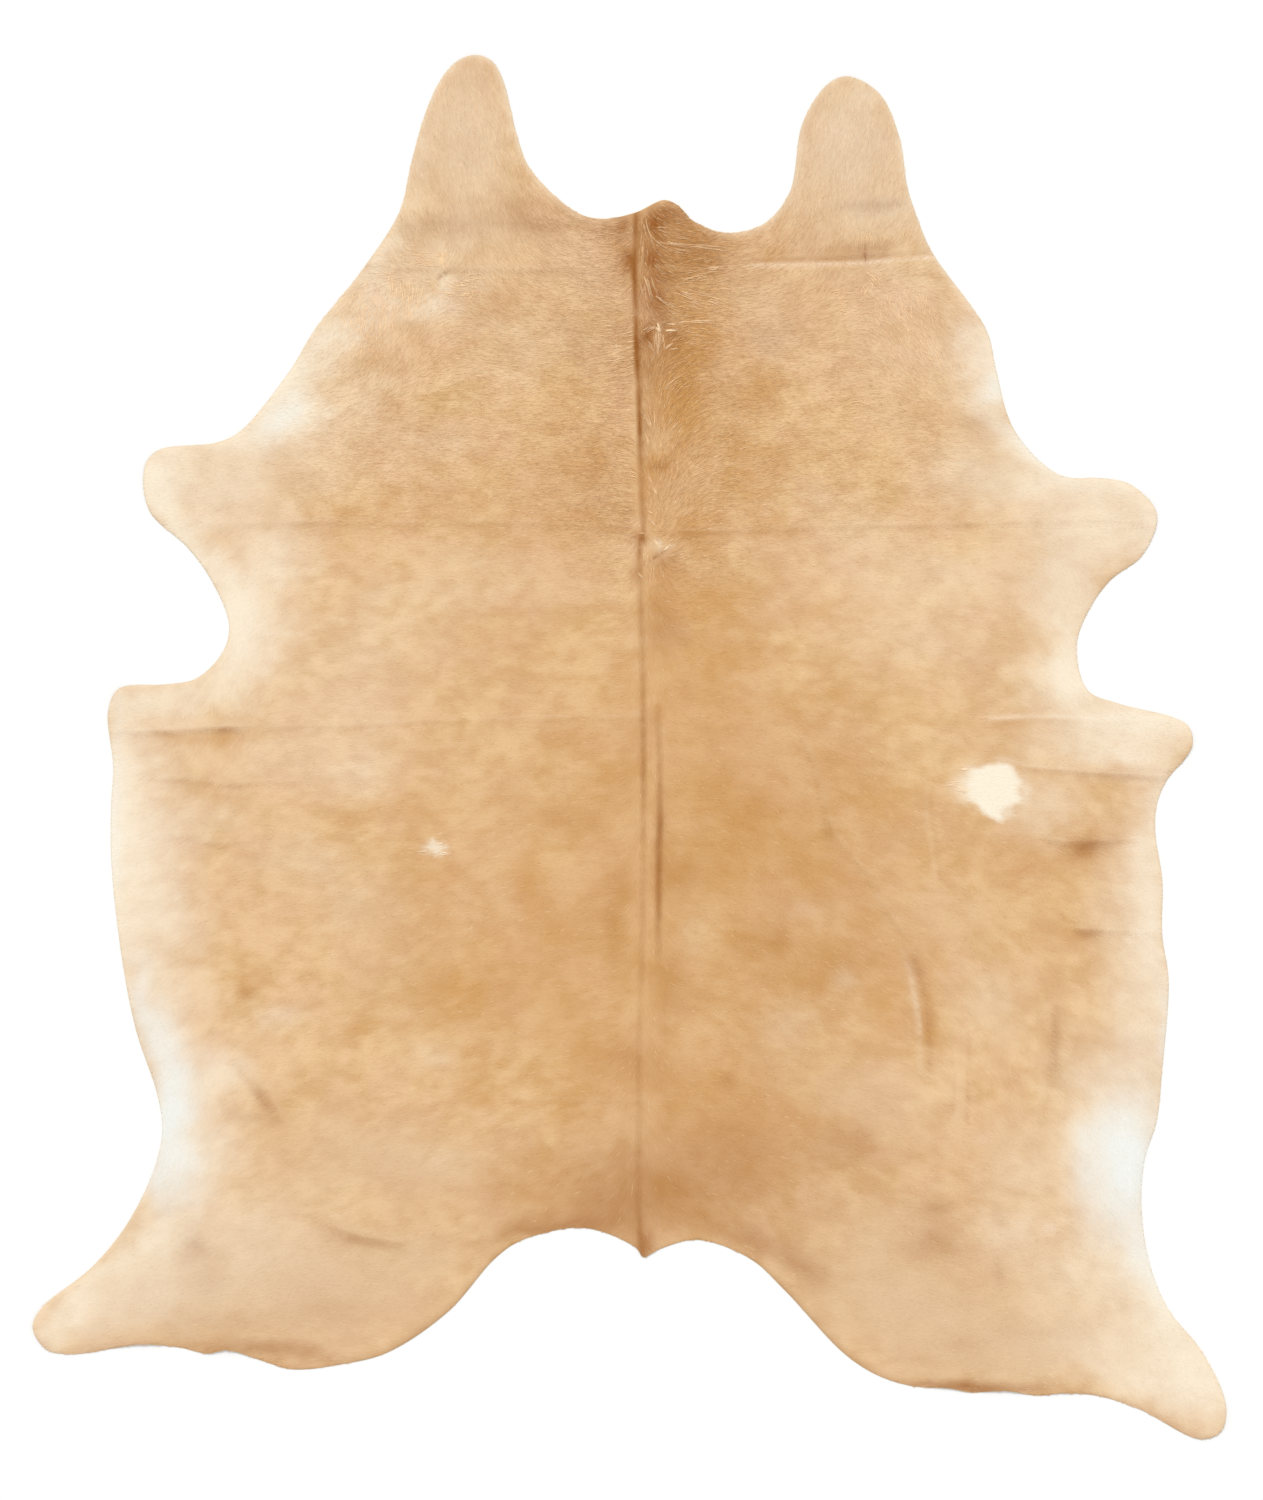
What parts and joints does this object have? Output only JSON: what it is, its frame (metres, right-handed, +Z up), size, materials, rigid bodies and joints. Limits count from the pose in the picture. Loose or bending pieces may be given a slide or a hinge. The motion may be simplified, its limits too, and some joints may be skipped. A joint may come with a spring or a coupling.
{
  "type": "cowhide with hair on, laid flat",
  "caption": "Whole tan cowhide laid flat with the hair side up: neck lobes, leg lobes, tail root, soft folds and a dark line along the spine.",
  "frame": {"origin": "on the ground, in the middle of the hide's length and width", "axes": "+Y towards the neck, +Z up out of the hair, +X to the right as seen from above with the neck away from the viewer"},
  "size_m": [1.8964, 2.1998, 0.0067],
  "materials": {
    "hair_on_leather": "short warm tan hair lying flat, mottled with paler hair, over undyed suede leather"
  },
  "bodies": {
    "root": {"cowhide": "hair_on_leather"}
  },
  "joints": []
}
